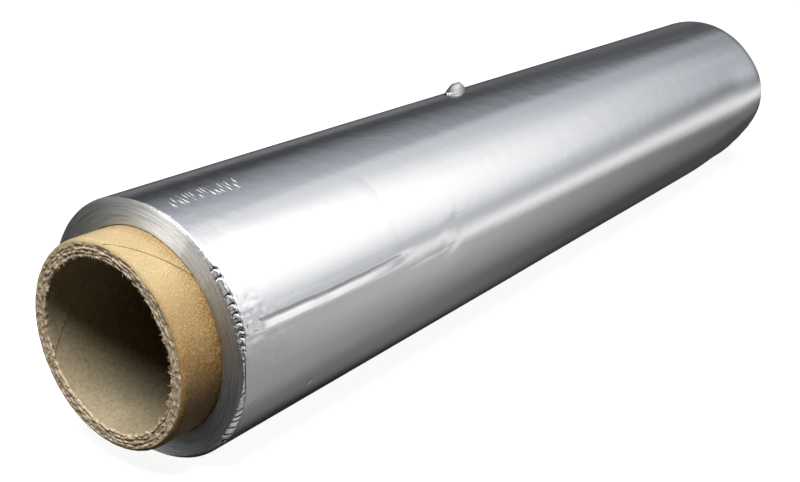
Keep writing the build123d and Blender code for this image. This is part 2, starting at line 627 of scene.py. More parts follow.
def foil_surface(sizes):
    """Points of the wound body ring by ring, and the finish of the faces after each point."""
    angle = spaced((76.0, 90.0, 0.38), (90.0, 130.0, 0.7), (130.0, 222.0, 0.30), (222.0, 436.0, 1.5))[:-1]
    round_way = angle % 360.0
    rim_length, face_radius = rim_places(angle)
    far = sizes.far_rim / MM
    crushed = Unevenness(sizes.seed + 31)
    crumpled = stretch(angle, 132.0, 192.0, 8.0)
    ragged = (0.07 * crushed(angle / 1.1, 3.0) + 0.08 * crushed(angle / 3.7, 8.0)) * crumpled
    ragged = ragged + 0.03 * crushed(angle / 2.0, 5.0)
    points, finish = [], []
    for zone, place in foil_rings(sizes):
        coat = np.full(len(angle), SKIN)
        if zone == "face":
            # the first ring leaves a crevice round the tube, in a near-black finish that is painted shade
            x = np.full(len(angle), 0.35 if place == 0.0 else 0.0)
            radius = TUBE_RADIUS + (face_radius + ragged - TUBE_RADIUS) * place
            coat[:] = GAP_SHADE if place == 0.0 else EDGES
        elif zone == "rim":
            arch = np.sin(np.pi * place)
            rise = skin_radius(rim_length * place, round_way, sizes) - face_radius
            depth, slit = rim_cells(place, round_way, sizes)
            crown = (0.04 + 0.21 * (1.0 - smooth(180.0, 196.0, angle))) * rise * arch
            dimples = (0.01 + 0.02 * crumpled) * crushed(angle / 0.9, place * 3.0) * arch
            radius = face_radius + ragged * (1.0 - place) + rise * place + crown - depth + dimples
            x = rim_length * place - 0.06 * arch * rim_length
            # the slits take the near-black finish: painted shade
            coat[slit > 0.45] = GAP_SHADE
        elif zone == "skin":
            x = place + rim_length * max(0.0, 1.0 - place / 20.0)
            radius = skin_radius(x, round_way, sizes)
            coat[pinch(x, round_way, sizes) > 0.05] = CRUMPLED
        elif zone == "far rim":
            turn = place * math.pi / 2
            x = np.full(len(angle), WIDTH - far * (1.0 - math.sin(turn)))
            radius = skin_radius(x, round_way, sizes) - far * (1.0 - math.cos(turn))
        else:
            x = np.full(len(angle), WIDTH)
            edge = skin_radius(x, round_way, sizes) - far
            radius = edge + (TUBE_RADIUS - edge) * place
            coat[:] = EDGES
        points.append(on_roll(x, angle, radius))
        finish.append(coat)
    return np.array(points), np.array(finish)


def sheet_surface(sizes):
    """Points and faces of the end of the sheet: a thin closed strip behind its free edge."""
    body = skin_places(sizes)
    close = spaced((2.4, 30.0, 0.4), (30.0, 62.0, 0.8), (62.0, 89.6, 0.6))
    x = np.concatenate((close, body[body > 90.0]))[:, None]
    # degrees back from the edge, closest at the edge itself
    back = 60.0 * (np.linspace(1.0, 0.0, 70)[None, :]) ** 2.2
    angle = edge_line(x, sizes) - back
    flutter = Unevenness(sizes.seed + 41)
    lifted = stretch(x, 5.0, 77.0, 8.0) * (1.0 + 0.35 * flutter(x / 7.0, 0.0))
    lift = sizes.edge_lift / MM * lifted * np.clip(1.0 - back / 3.6, 0.0, 1.0) ** 2
    # the strip sinks into the body far back from its edge, near the near end and past the sharp hollow
    dive = 0.07 * smooth(30.0, 60.0, back) + 0.12 * smooth(50.0, 60.0, x)
    dive = dive + 0.055 * (1 - smooth(2.4, 12.0, x))
    outer = skin_radius(x, angle, sizes) + 0.05 + lift - dive
    top = on_roll(x, angle, outer)
    under = on_roll(x, angle, outer - sizes.sheet_thickness / MM)
    rows, columns = top.shape[:2]
    points = np.concatenate((top, under[:, ::-1]), 1).reshape(-1, 3)
    across = 2 * columns
    faces = [ring_faces(rows, across, joined=False)]
    column = np.arange(columns - 1)
    for start, order in ((0, 1), ((rows - 1) * across, -1)):
        low, high = start + column, start + across - 1 - column
        faces.append(np.stack((low, high, high - 1, low + 1)[::order], -1))
    return points, np.concatenate(faces)


# The tube's shape

# The numbers of the tube's finishes
OUTSIDE, INSIDE, CUT, SEAM = range(4)


def tube_rings(edge):
    """Each ring's x, radius and finish: out over the near cut end, along the outside, and back."""
    quarter = math.pi / 2
    rings = []
    for radius in np.linspace(BORE_RADIUS + 0.25, TUBE_RADIUS - edge, 15):
        rings.append((-STANDOUT, radius, CUT))
    for turn in np.linspace(0.0, quarter, 7)[1:]:
        x = -STANDOUT + edge * (1 - math.cos(turn))
        rings.append((x, TUBE_RADIUS - edge + edge * math.sin(turn), OUTSIDE))
    for run in (
        (-STANDOUT + edge + 0.4, 0.0, 0.5),
        (6.0, WIDTH - 6.0, 48.0),
        (WIDTH, WIDTH + STANDOUT - edge - 0.4, 0.6),
    ):
        rings.extend((x, TUBE_RADIUS, OUTSIDE) for x in spaced(run))
    for turn in np.linspace(0.0, quarter, 7):
        x = WIDTH + STANDOUT - edge * (1 - math.sin(turn))
        finish = CUT if turn == quarter else OUTSIDE
        rings.append((x, TUBE_RADIUS - edge + edge * math.cos(turn), finish))
    for radius in np.linspace(TUBE_RADIUS - edge, BORE_RADIUS + 0.25, 12)[1:]:
        rings.append((WIDTH + STANDOUT, radius, CUT))
    rings.append((WIDTH + STANDOUT - 0.3, BORE_RADIUS, INSIDE))
    for x in spaced(
        (WIDTH + STANDOUT - 1.2, WIDTH - 20.0, 1.4),
        (WIDTH - 20.0, 40.0, 24.0),
        (40.0, -STANDOUT + 1.5, 1.2),
        (-STANDOUT + 1.5, -STANDOUT + 0.6, 0.3),
    ):
        rings.append((x, BORE_RADIUS, INSIDE))
    rings.append((-STANDOUT + 0.3, BORE_RADIUS, CUT))
    return np.array(rings)


def tube_twist(x, radius):
    """Degrees by which each ring is turned, so that the columns run round with the plies' seams."""
    far = WIDTH + STANDOUT
    seen = 32.0
    near_twist = (x + STANDOUT) * SEAM_TWIST
    full = 2 * STANDOUT * SEAM_TWIST
    closing = ((seen + STANDOUT) * SEAM_TWIST - full) / (far - seen)
    within = np.where(x < seen, near_twist, full + (far - x) * closing)
    without = (np.clip(x + STANDOUT, 0.0, STANDOUT) + np.clip(x - WIDTH, 0.0, STANDOUT)) * SEAM_TWIST
    inside_wall = (np.abs(radius - BORE_RADIUS) < 0.01) & (np.abs(x - WIDTH / 2) < far - WIDTH / 2 - 0.2)
    return np.where(inside_wall, within, without)


def tube_surface(sizes):
    """Points of the tube ring by ring, and the finish of the faces after each point."""
    columns = 560
    x, radius, finish = np.hsplit(tube_rings(sizes.edge_round / MM), 3)
    finish = np.repeat(finish.astype(int), columns, 1)
    column = np.arange(columns)[None, :] * 360.0 / columns
    angle = column + tube_twist(x, radius)
    round_way = angle % 360.0
    arc = np.radians(round_way) * TUBE_ARC_RADIUS
    fine, plies, wide = Unevenness(81), Unevenness(82), Unevenness(83)

    # the cut ends are torn fibre, with the plies showing as rings that wander
    wander = 0.22 * wide(round_way / 24.0, 0.0)
    ply = np.sin((radius + wander - BORE_RADIUS) * 2 * math.pi / PLY_THICKNESS)
    rough = 0.9 * fine(arc / 0.8, radius / 0.28) + 0.5 * plies(arc / 2.3, radius / 0.4) + 0.35 * ply
    outwards = np.where(x < 0, -1.0, 1.0)
    out_x = x + np.where(finish == CUT, outwards * (sizes.fray / MM * rough - 0.12), 0.0)

    # the bore's mouths and the near outer edge are frayed too
    end = np.maximum(bell(x + STANDOUT, 0.6), bell(x - WIDTH - STANDOUT, 0.6))
    mouth = bell(radius - BORE_RADIUS, 0.5) * end
    out_r = radius + mouth * (0.35 * fine(arc / 0.7, 5.0) + 0.25 * wide(arc / 3.0, 2.0))
    rim = bell(TUBE_RADIUS - radius, 1.0) * np.exp(-np.abs(x + STANDOUT) / 0.9)
    out_r = out_r - rim * np.abs(0.16 * fine(arc / 0.9, 11.0)) * (x < 0)

    # the outer seam is a groove with a raised lip beside it, the inner one a low step
    depth = sizes.seam_depth / MM
    lip = np.exp(-np.clip(column - OUTER_SEAM, 0.0, None) / 9.0) * (column > OUTER_SEAM)
    outside_wall = (finish == OUTSIDE) & (radius > TUBE_RADIUS - 0.5)
    groove = bell(column - OUTER_SEAM + 0.2, 0.9)
    out_r = out_r + np.where(outside_wall, -depth * groove + 0.35 * depth * lip, 0.0)
    lip = np.exp(-np.clip(column - INNER_SEAM, 0.0, None) / 6.0) * (column > INNER_SEAM)
    dimple = 0.03 * wide(x / 9.0, arc / 7.0)
    out_r = out_r + np.where(finish == INSIDE, dimple - 1.2 * depth * lip, 0.0)

    # under the foil the outside shrinks a little, clear of the wound body
    hidden = (x > 0.4) & (x < WIDTH - 0.4) & (radius > TUBE_RADIUS - 0.5)
    out_r = np.where(hidden, TUBE_RADIUS - 0.03, out_r)
    finish = np.where(outside_wall & (np.abs(column - OUTER_SEAM) < 1.0), SEAM, finish)
    return on_roll(out_x, angle, out_r), finish


# Nodes


def add(tree, kind, inputs=None, **settings):
    """Add a node to a shader or geometry tree; an input is a value or another node's socket."""
    made = tree.nodes.new(kind)
    for name, value in settings.items():
        setattr(made, name, value)
    for name, value in (inputs or {}).items():
        if isinstance(value, bpy.types.NodeSocket):
            tree.links.new(value, made.inputs[name])
        else:
            made.inputs[name].default_value = value
    return made


def maths(tree, operation, *values, clamp=False):
    """The result of a sum on values or sockets."""
    made = add(tree, "ShaderNodeMath", dict(enumerate(values)), operation=operation, use_clamp=clamp)
    return made.outputs[0]


def vector_of(tree, x=0.0, y=0.0, z=0.0):
    """A vector from its three parts."""
    return add(tree, "ShaderNodeCombineXYZ", {"X": x, "Y": y, "Z": z}).outputs[0]


def ramp(tree, value, low, high, first=0.0, last=1.0, kind="LINEAR"):
    """A number that goes from first to last as the value goes from low to high."""
    sockets = {"Value": value, "From Min": low, "From Max": high, "To Min": first, "To Max": last}
    return add(tree, "ShaderNodeMapRange", sockets, interpolation_type=kind).outputs[0]


def noise(tree, vector, scale, detail=2.0, roughness=0.5, distortion=0.0):
    """A noise pattern from 0 to 1."""
    sockets = {"Vector": vector, "Scale": scale, "Detail": detail}
    sockets.update({"Roughness": roughness, "Distortion": distortion})
    return add(tree, "ShaderNodeTexNoise", sockets).outputs["Fac"]


def bump(tree, height, strength, distance, normal=None):
    """A normal bent by a height, in metres."""
    sockets = {"Height": height, "Strength": strength, "Distance": distance}
    if normal is not None:
        sockets["Normal"] = normal
    return add(tree, "ShaderNodeBump", sockets).outputs[0]


def mix(tree, mask, first, last, kind="MIX"):
    """A colour that goes from first to last with a mask."""
    made = add(tree, "ShaderNodeMix", {"Factor": mask, 6: first, 7: last}, data_type="RGBA", blend_type=kind)
    return made.outputs[2]


def group_tree(name, inputs, outputs, kind="ShaderNodeTree"):
    """A node group with named sockets; inputs are (name, socket kind, default)."""
    tree = bpy.data.node_groups.new(name, kind)
    for label, socket, default in inputs:
        made = tree.interface.new_socket(label, in_out="INPUT", socket_type=f"NodeSocket{socket}")
        if default is not None:
            made.default_value = default
    for label, socket in outputs:
        tree.interface.new_socket(label, in_out="OUTPUT", socket_type=f"NodeSocket{socket}")
    return tree, tree.nodes.new("NodeGroupInput").outputs, tree.nodes.new("NodeGroupOutput").inputs


def place_group(tree, group, **inputs):
    """Place a node group; an underscore in a name stands for a space."""
    made = tree.nodes.new("ShaderNodeGroup")
    made.node_tree = group
    for name, value in inputs.items():
        socket = made.inputs[name.replace("_", " ")]
        if isinstance(value, bpy.types.NodeSocket):
            tree.links.new(value, socket)
        else:
            socket.default_value = value
    return made.outputs


def round_the_roll():
    """Group: a place on the roll as metres along it, radians round it from the top, and radius."""
    if "round_the_roll" in bpy.data.node_groups:
        return bpy.data.node_groups["round_the_roll"]
    tree, given, result = group_tree(
        "round_the_roll",
        [("Vector", "Vector", None), ("Axis Height", "Float", AXIS_HEIGHT)],
        [("Along", "Float"), ("Turn", "Float"), ("Radius", "Float")],
    )
    parts = add(tree, "ShaderNodeSeparateXYZ", {0: given["Vector"]}).outputs
    height = maths(tree, "SUBTRACT", parts["Z"], given["Axis Height"])
    turn = maths(tree, "ARCTAN2", parts["Y"], height)
    square = maths(tree, "MULTIPLY", height, height)
    radius = maths(tree, "SQRT", maths(tree, "MULTIPLY_ADD", parts["Y"], parts["Y"], square))
    tree.links.new(parts["X"], result["Along"])
    tree.links.new(turn, result["Turn"])
    tree.links.new(radius, result["Radius"])
    return tree


def rolled_streaks():
    """Group: fine streaks, stretched along one way, as a height and a mask."""
    if "rolled_streaks" in bpy.data.node_groups:
        return bpy.data.node_groups["rolled_streaks"]
    tree, given, result = group_tree(
        "rolled_streaks",
        [
            ("Long Way", "Float", 0.0),
            ("Short Way", "Float", 0.0),
            ("Long Scale", "Float", 12.0),
            ("Short Scale", "Float", 700.0),
        ],
        [("Height", "Float"), ("Mask", "Float")],
    )
    along = maths(tree, "MULTIPLY", given["Long Way"], given["Long Scale"])
    across = maths(tree, "MULTIPLY", given["Short Way"], given["Short Scale"])
    vector = vector_of(tree, along, across)
    tree.links.new(noise(tree, vector, 1.0, 4.0, 0.6), result["Height"])
    tree.links.new(ramp(tree, noise(tree, vector, 0.22), 0.42, 0.66), result["Mask"])
    return tree


def paper_fibre():
    """Group: the fibres and specks of paper board, as a height, specks and broad patches."""
    if "paper_fibre" in bpy.data.node_groups:
        return bpy.data.node_groups["paper_fibre"]
    tree, given, result = group_tree(
        "paper_fibre",
        [("Vector", "Vector", None), ("Fibre Scale", "Float", 1400.0), ("Speck Scale", "Float", 2600.0)],
        [("Height", "Float"), ("Specks", "Float"), ("Patches", "Float")],
    )
    vector = given["Vector"]
    tree.links.new(noise(tree, vector, given["Fibre Scale"], 5.0, 0.65, 1.6), result["Height"])
    tree.links.new(noise(tree, vector, given["Speck Scale"], 2.0, 0.8), result["Specks"])
    tree.links.new(noise(tree, vector, 90.0, 3.0), result["Patches"])
    return tree


def turn_spiral():
    """Geometry nodes: a thin wound ridge, swept along a spiral in an end face."""
    if "turn_spiral" in bpy.data.node_groups:
        return bpy.data.node_groups["turn_spiral"]
    tree, given, result = group_tree(
        "turn_spiral",
        [
            ("Geometry", "Geometry", None),
            ("First Radius", "Float", 0.0236),
            ("Last Radius", "Float", 0.0273),
            ("Turns", "Float", 9.0),
            ("Height", "Float", AXIS_HEIGHT),
            ("Face", "Float", NEAR_X),
            ("Turn Width", "Float", 0.00005),
            ("Start", "Float", 0.0),
            ("Finish", "Material", None),
        ],
        [("Geometry", "Geometry")],
        "GeometryNodeTree",
    )
    sockets = {"Resolution": 120, "Rotations": given["Turns"], "Height": 0.0}
    sockets.update({"Start Radius": given["First Radius"], "End Radius": given["Last Radius"]})
    shape = add(tree, "GeometryNodeCurveSpiral", sockets).outputs[0]
    upright = vector_of(tree, math.pi / 2, 0.0, math.pi / 2)
    centre = vector_of(tree, given["Face"], 0.0, given["Height"])
    for sockets in (
        {"Rotation": vector_of(tree, z=given["Start"])},
        {"Rotation": upright, "Translation": centre},
    ):
        shape = add(tree, "GeometryNodeTransform", {"Geometry": shape, **sockets}).outputs[0]
    sockets = {"Resolution": 5, "Radius": given["Turn Width"]}
    profile = add(tree, "GeometryNodeCurvePrimitiveCircle", sockets).outputs[0]
    sockets = {"Curve": shape, "Profile Curve": profile, "Fill Caps": True}
    finish_tree(tree, given, result, add(tree, "GeometryNodeCurveToMesh", sockets).outputs[0])
    return tree


def sliver_scatter():
    """Geometry nodes: a small crowned sliver on every point of the piece, facing away from the axis."""
    if "sliver_scatter" in bpy.data.node_groups:
        return bpy.data.node_groups["sliver_scatter"]
    tree, given, result = group_tree(
        "sliver_scatter",
        [
            ("Geometry", "Geometry", None),
            ("Long", "Float", 0.001),
            ("Wide", "Float", 0.0008),
            ("Thick", "Float", 0.00004),
            ("Height", "Float", AXIS_HEIGHT),
            ("Lean", "Float", 0.0),
            ("Slant", "Float", 0.0),
            ("Uneven", "Float", 0.3),
            ("Turn Uneven", "Float", 0.5),
            ("Seed", "Int", 1),
            ("Finish", "Material", None),
        ],
        [("Geometry", "Geometry")],
        "GeometryNodeTree",
    )
    sphere = add(tree, "GeometryNodeMeshUVSphere", {"Segments": 8, "Rings": 4, "Radius": 0.5}).outputs[0]
    scale = vector_of(tree, given["Long"], given["Wide"], given["Thick"])
    sliver = add(tree, "GeometryNodeTransform", {"Geometry": sphere, "Scale": scale}).outputs[0]
    where = add(tree, "GeometryNodeInputPosition").outputs[0]
    parts = add(tree, "ShaderNodeSeparateXYZ", {0: where}).outputs
    away = vector_of(tree, 0.0, parts["Y"], maths(tree, "SUBTRACT", parts["Z"], given["Height"]))
    facing = add(
        tree, "FunctionNodeAlignRotationToVector", {"Vector": away}, axis="Z", pivot_axis="X"
    ).outputs[0]

    def varied(value, offset, reach, uneven):
        """The value, give or take a random amount."""
        seed = maths(tree, "ADD", given["Seed"], float(offset))
        chance = add(tree, "FunctionNodeRandomValue", {"Seed": seed}, data_type="FLOAT")
        chance.inputs[2].default_value = -reach
        chance.inputs[3].default_value = reach
        return maths(tree, "ADD", value, maths(tree, "MULTIPLY", chance.outputs[1], given[uneven]))

    slant = varied(given["Slant"], 1, 1.0, "Turn Uneven")
    lean = varied(given["Lean"], 2, 0.6, "Uneven")
    turned = add(tree, "FunctionNodeEulerToRotation", {0: vector_of(tree, 0.0, lean, slant)}).outputs[0]
    both = add(tree, "FunctionNodeRotateRotation", {0: facing, 1: turned}, rotation_space="LOCAL").outputs[0]
    sockets = {"Points": given["Geometry"], "Instance": sliver, "Rotation": both}
    sockets["Scale"] = varied(1.0, 3, 0.7, "Uneven")
    finish_tree(tree, given, result, add(tree, "GeometryNodeInstanceOnPoints", sockets).outputs[0])
    return tree


def finish_tree(tree, given, result, geometry):
    """End a geometry tree with real geometry in its finish."""
    real = add(tree, "GeometryNodeRealizeInstances", {0: geometry}).outputs[0]
    sockets = {"Geometry": real, "Material": given["Finish"]}
    tree.links.new(add(tree, "GeometryNodeSetMaterial", sockets).outputs[0], result[0])


# Materials


def emptied(owner):
    """The owner's node tree, with nothing in it."""
    owner.use_nodes = True
    owner.node_tree.nodes.clear()
    return owner.node_tree


def new_material(name):
    """An empty node material with its shader's sockets and object coordinates."""
    material = bpy.data.materials.new(name)
    tree = emptied(material)
    shader = tree.nodes.new("ShaderNodeBsdfPrincipled")
    add(tree, "ShaderNodeOutputMaterial", {"Surface": shader.outputs[0]})
    return material, tree, shader.inputs, add(tree, "ShaderNodeTexCoord").outputs["Object"]


def tinted(tree, colour, darker, lighter, mask, low=0.3, high=0.7):
    """The colour, from darker to lighter as a mask goes from low to high."""
    first = (*(part * darker for part in colour), 1.0)
    last = (*(min(part * lighter, 1.0) for part in colour), 1.0)
    return mix(tree, ramp(tree, mask, low, high), first, last)


def fold_highlight_and_shade(tree, colour, along, arc):
    """The pinch's fold, with a painted highlight in its middle and painted shade towards its crest and its
    ends.
    """
    half_length, half_width = 0.0041, 0.00105
    middle = NEAR_X + FOLD_MIDDLE[0] * MM
    middle_arc = math.radians(90.0 - FOLD_MIDDLE[1]) * ARC_RADIUS * MM
    beside = maths(tree, "DIVIDE", maths(tree, "SUBTRACT", along, middle), half_length)
    above = maths(tree, "DIVIDE", maths(tree, "SUBTRACT", arc, middle_arc), half_width)
    square = maths(tree, "MULTIPLY", above, above)
    away = maths(tree, "SQRT", maths(tree, "MULTIPLY_ADD", beside, beside, square))
    return tinted(tree, colour, 1.7, 0.14, away, 0.15, 1.0)


def foil_skin_material(name="foil_skin", crumpled=0.0, shade=1.0, metal=1.0, mottle_depth=0.00012):
    """The foil's rolled skin, which is duller and scatters more where it is crumpled; there it is darkened
    and takes a painted highlight and painted shade.
    """
    if name in bpy.data.materials:
        return bpy.data.materials[name]
    colour = [part * shade for part in bpy.context.scene.foil_roll_finishes.foil]
    material, tree, shader, coordinates = new_material(name)
    place = place_group(tree, round_the_roll(), Vector=coordinates)
    along, turn = place["Along"], maths(tree, "DEGREES", place["Turn"])
    arc = maths(tree, "MULTIPLY", place["Turn"], ARC_RADIUS * MM)
    streaks = place_group(
        tree, rolled_streaks(), Long_Way=along, Short_Way=arc, Long_Scale=14.0, Short_Scale=420.0
    )
    mottle = noise(tree, coordinates, 190.0, 4.0)
    near = ramp(tree, along, NEAR_X + 0.03, NEAR_X + 0.002)
    rough = ramp(tree, streaks["Mask"], 0.0, 1.0, 0.13 + crumpled, 0.19 + crumpled)
    rough = maths(tree, "MULTIPLY_ADD", maths(tree, "MULTIPLY", near, mottle), 0.10, rough)
    tree.links.new(rough, shader["Roughness"])
    # over the pinch, a painted highlight in the fold's middle and painted shade towards its crest and ends
    if crumpled:
        tint = fold_highlight_and_shade(tree, colour, along, arc)
    else:
        tint = tinted(tree, colour, 0.95, 1.04, streaks["Mask"], 0.0, 1.0)
    tree.links.new(tint, shader["Base Color"])
    shader["Metallic"].default_value = metal
    # the skin is mottled less at the front, away from the near end
    top = ramp(tree, turn, -34.0, -12.0, 0.3, 1.0)
    dimpled = maths(tree, "MULTIPLY", mottle, maths(tree, "MAXIMUM", top, near))
    fine = bump(tree, streaks["Height"], 0.35, 0.000012)
    tree.links.new(bump(tree, dimpled, 1.0, mottle_depth, fine), shader["Normal"])
    return material


def turn_edges_material():
    """The cut edges of the wound turns, which spread their reflections in and out, across the turns."""
    if "foil_turn_edges" in bpy.data.materials:
        return bpy.data.materials["foil_turn_edges"]
    colour = bpy.context.scene.foil_roll_finishes.turn_edges
    material, tree, shader, coordinates = new_material("foil_turn_edges")
    place = place_group(tree, round_the_roll(), Vector=coordinates)
    both = 0.0
    for long_scale, short_scale, weight in ((2.5, 6500.0, 0.75), (1.2, 2300.0, 0.25)):
        streaks = place_group(
            tree,
            rolled_streaks(),
            Long_Way=place["Turn"],
            Short_Way=place["Radius"],
            Long_Scale=long_scale,
            Short_Scale=short_scale,
        )
        both = maths(tree, "MULTIPLY_ADD", streaks["Height"], weight, both)
    # a narrow sector in front of the top is painted darker: painted shade beside the bright sector
    turn = maths(tree, "DEGREES", place["Turn"])
    sector = maths(tree, "MULTIPLY", ramp(tree, turn, -32.5, -35.0), ramp(tree, turn, -48.0, -37.0))
    streaked = tinted(tree, colour, 0.62, 1.22, both, 0.38, 0.62)
    sector_shaded = mix(tree, sector, streaked, (0.80, 0.80, 0.80, 1.0), "MULTIPLY")
    tree.links.new(sector_shaded, shader["Base Color"])
    shader["Metallic"].default_value = 1.0
    shader["Roughness"].default_value = 0.52
    shader["Anisotropic"].default_value = 0.85
    parts = add(tree, "ShaderNodeSeparateXYZ", {0: coordinates}).outputs
    height = maths(tree, "SUBTRACT", parts["Z"], AXIS_HEIGHT)
    tree.links.new(vector_of(tree, 0.0, parts["Y"], height), shader["Tangent"])
    tree.links.new(bump(tree, both, 0.7, 0.00010), shader["Normal"])
    return material


def gap_shade_material():
    """Painted shade: a near-black finish in the slits between the crushed rim's tabs and in the crevice
    round the tube.
    """
    if "foil_gaps" in bpy.data.materials:
        return bpy.data.materials["foil_gaps"]
    material, tree, shader, coordinates = new_material("foil_gaps")
    shader["Base Color"].default_value = (0.012, 0.012, 0.014, 1.0)
    shader["Roughness"].default_value = 0.7
    shader["Specular IOR Level"].default_value = 0.1
    return material


def paper_material(name, colour, fibre_scale, speck_scale, specks, relief, rough, sheen=0.25):
    """A paper finish; specks are (darker, lighter, low, high) shares of the colour."""
    if name in bpy.data.materials:
        return bpy.data.materials[name]
    material, tree, shader, coordinates = new_material(name)
    fibre = place_group(
        tree, paper_fibre(), Vector=coordinates, Fibre_Scale=fibre_scale, Speck_Scale=speck_scale
    )
    speckled = tinted(tree, colour, *specks[:2], fibre["Specks"], *specks[2:])
    patch = ramp(tree, fibre["Patches"], 0.3, 0.7, 0.86, 1.08)
    shaded = add(tree, "ShaderNodeVectorMath", {0: speckled, "Scale": patch}, operation="SCALE")
    tree.links.new(shaded.outputs[0], shader["Base Color"])
    tree.links.new(bump(tree, fibre["Height"], 0.8, relief), shader["Normal"])
    shader["Roughness"].default_value = rough
    shader["Specular IOR Level"].default_value = sheen
    return material


def kraft_material():
    """Kraft paper with painted shade: browner at the roll's front, greyer and bluer at the back, and a
    flecked painted contact shadow where it meets the foil.
    """
    if "kraft_paper" in bpy.data.materials:
        return bpy.data.materials["kraft_paper"]
    colour = bpy.context.scene.foil_roll_finishes.kraft
    specks = (0.74, 1.15, 0.36, 0.60)
    material = paper_material("kraft_paper", colour, 1300.0, 3800.0, specks, 0.00006, 0.5, 0.6)
    tree = material.node_tree
    shader = next(node for node in tree.nodes if node.type == "BSDF_PRINCIPLED").inputs
    coordinates = add(tree, "ShaderNodeTexCoord").outputs["Object"]
    place = place_group(tree, round_the_roll(), Vector=coordinates)
    turn = maths(tree, "DEGREES", place["Turn"])
    # painted shade: towards the front the paper is deeper and browner, towards the back greyer and bluer
    front = ramp(tree, turn, -36.0, -84.0)
    back = ramp(tree, turn, 2.0, 26.0)
    # painted contact shadow beside the foil, broken into flecks
    foil_contact_shade = ramp(tree, place["Along"], NEAR_X - 0.0048, NEAR_X + 0.0004, kind="SMOOTHSTEP")
    flecks = ramp(tree, noise(tree, coordinates, 3000.0, 3.0, 0.75), 0.41, 0.57)
    kraft_tone_and_shade = shader["Base Color"].links[0].from_socket
    for mask, tint in (
        (front, (1.06, 0.97, 0.80, 1.0)),
        (maths(tree, "MULTIPLY", front, flecks), (0.60, 0.46, 0.28, 1.0)),
        (back, (0.74, 0.80, 0.90, 1.0)),
        (maths(tree, "MULTIPLY", foil_contact_shade, flecks), (0.52, 0.40, 0.25, 1.0)),
    ):
        kraft_tone_and_shade = mix(tree, mask, kraft_tone_and_shade, tint, "MULTIPLY")
    tree.links.new(kraft_tone_and_shade, shader["Base Color"])
    return material


def seam_material():
    """The shaded groove of the outer seam."""
    colour = [part * 0.30 for part in bpy.context.scene.foil_roll_finishes.kraft]
    return paper_material("kraft_seam", colour, 900.0, 3000.0, (0.5, 1.9, 0.40, 0.60), 0.00004, 0.8)


def board_material():
    """The plain grey board inside the bore."""
    colour = bpy.context.scene.foil_roll_finishes.board
    return paper_material("grey_board", colour, 700.0, 1100.0, (0.78, 1.12, 0.32, 0.66), 0.00006, 0.85)


def cut_board_material():
    """The cut plies: torn fibre that runs round the tube in uneven layers."""
    if "cut_board" in bpy.data.materials:
        return bpy.data.materials["cut_board"]
    red, green, blue = bpy.context.scene.foil_roll_finishes.board
    colour = (red, green * 0.97, blue * 1.05)
    material, tree, shader, coordinates = new_material("cut_board")
    place = place_group(tree, round_the_roll(), Vector=coordinates)
    layers = place_group(
        tree,
        rolled_streaks(),
        Long_Way=place["Turn"],
        Short_Way=place["Radius"],
        Long_Scale=34.0,
        Short_Scale=5200.0,
    )
    fibre = place_group(tree, paper_fibre(), Vector=coordinates, Fibre_Scale=2400.0, Speck_Scale=2900.0)
    torn = maths(tree, "MULTIPLY", fibre["Specks"], 0.55)
    torn = maths(tree, "MULTIPLY_ADD", layers["Height"], 0.45, torn)
    # the torn fibre is lighter than the board, and how much lighter is in part painted light, as if the cut
    # ends were lit from the front
    tree.links.new(tinted(tree, colour, 0.90, 2.36, torn, 0.30, 0.58), shader["Base Color"])
    tree.links.new(bump(tree, torn, 1.0, 0.00036), shader["Normal"])
    shader["Roughness"].default_value = 0.9
    shader["Specular IOR Level"].default_value = 0.2
    return material


# Pieces


class FOILROLL_OT_wound_body(bpy.types.Operator):
    """Make the wound foil with its crushed rim, buckle, pinch and marks"""

    bl_idname = "foilroll.wound_body"
    bl_label = "Wound Foil"

    def execute(self, context):
        points, finish = foil_surface(context.scene.foil_roll_foil)
        finishes = (
            foil_skin_material(),
            turn_edges_material(),
            gap_shade_material(),
            # the pinch's crumpled copy is darkened to grey: painted shade as well as a duller finish
            foil_skin_material("crumpled_foil", crumpled=0.45, shade=0.46, metal=0.1, mottle_depth=0.00001),
        )
        faces = ring_faces(*finish.shape)
        made = make_object("wound_foil", points.reshape(-1, 3), faces, finishes, finish.ravel())
        finish_piece(made, "foil", "foil")
        return {"FINISHED"}


class FOILROLL_OT_free_edge(bpy.types.Operator):
    """Make the end of the sheet, whose free edge springs a little off the roll"""

    bl_idname = "foilroll.free_edge"
    bl_label = "Free Edge"

    def execute(self, context):
        points, faces = sheet_surface(context.scene.foil_roll_foil)
        finish_piece(make_object("free_edge", points, faces, (foil_skin_material(),)), "foil")
        return {"FINISHED"}


class FOILROLL_OT_turn_edges(bpy.types.Operator):
    """Make the turns that stand a little proud in both end faces"""

    bl_idname = "foilroll.turn_edges"
    bl_label = "Turn Edges"

    def execute(self, context):
        sizes = context.scene.foil_roll_foil
        for name, face, start in (
            ("near_turn_edges", NEAR_X, sizes.edge_angle),
            ("far_turn_edges", FAR_X, -sizes.edge_angle),
        ):
            values = {
                "First Radius": TUBE_RADIUS * MM + 0.0004,
                "Last Radius": sizes.radius - 0.0013,
                "Turns": 9.0,
                "Height": AXIS_HEIGHT,
                "Face": face,
                "Turn Width": 0.00005,
                "Start": start,
                "Finish": turn_edges_material(),
            }
            grow_piece(name, "foil", turn_spiral(), values)
        return {"FINISHED"}


